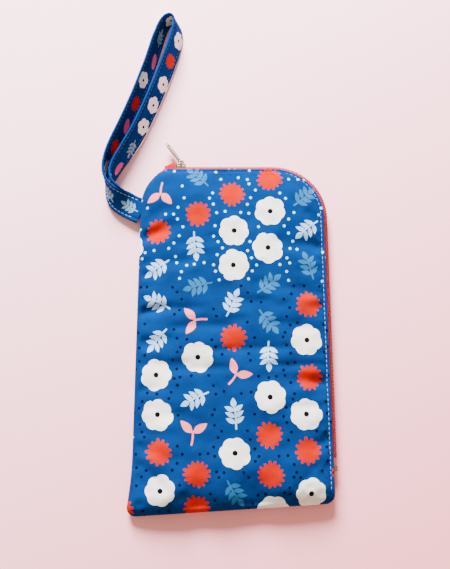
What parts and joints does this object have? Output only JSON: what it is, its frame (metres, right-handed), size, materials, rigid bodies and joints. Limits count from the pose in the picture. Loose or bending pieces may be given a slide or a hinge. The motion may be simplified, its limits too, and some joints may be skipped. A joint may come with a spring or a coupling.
{
  "type": "wristlet wallet",
  "caption": "Padded printed-cotton pouch wallet lying flat, with a zip round its top and side, card pockets inside and a wrist strap loop.",
  "frame": {"origin": "on the flat of the back panel, near the middle of the pouch, where it rests on a table", "axes": "+X to the pouch's zipped side, +Y to its zipped top edge, +Z out of its front"},
  "size_m": [0.1326, 0.2891, 0.0148],
  "materials": {
    "printed_cotton": "matt woven print",
    "wadding": "soft non-woven",
    "lining_cotton": "matt woven",
    "zip_tape": "herringbone tape",
    "zip_nylon": "satin",
    "nickel": "bright nickel plate"
  },
  "bodies": {
    "pouch": {"back_panel": "printed_cotton", "back_wadding": "wadding", "back_lining": "lining_cotton", "card_pocket_rear": "lining_cotton", "card_pocket_front": "lining_cotton", "front_panel": "printed_cotton", "front_wadding": "wadding", "front_lining": "lining_cotton", "zip_tape_back": "zip_tape", "zip_coil_back": "zip_nylon", "zip_tape_front_start": "zip_tape", "zip_tape_front_end": "zip_tape", "zip_top_stop_back": "nickel", "zip_top_stop_front": "nickel", "zip_bottom_stop": "nickel"},
    "mouth_flap": {"front_panel_flap": "printed_cotton", "front_wadding_flap": "wadding", "front_lining_flap": "lining_cotton", "zip_tape_front": "zip_tape", "zip_coil_front": "zip_nylon"},
    "zip_slider": {"slider_body": "nickel", "slider_bail": "nickel"},
    "zip_pull": {"pull_tab": "nickel"},
    "strap": {"wrist_strap": "printed_cotton"}
  },
  "joints": [
    {"name": "mouth_fold", "type": "hinge", "parent": "pouch", "child": "mouth_flap", "pos_m": [-0.02365, 0.0986, 0.0145], "axis": [0.3955, -0.9185, 0], "range_deg": [0, 55]},
    {"name": "zip_slide", "type": "slide", "parent": "pouch", "child": "zip_slider", "axis": [1, 0, 0], "range_m": [0, 0.046]},
    {"name": "pull_swing", "type": "hinge", "parent": "zip_slider", "child": "zip_pull", "pos_m": [-0.0302, 0.104, 0.005], "axis": [0, 0, 1], "range_deg": [-122, 46]},
    {"name": "strap_lift", "type": "hinge", "parent": "pouch", "child": "strap", "pos_m": [-0.0551, 0.0757, 0.0037], "axis": [1, 0, 0], "range_deg": [0, 80]}
  ]
}
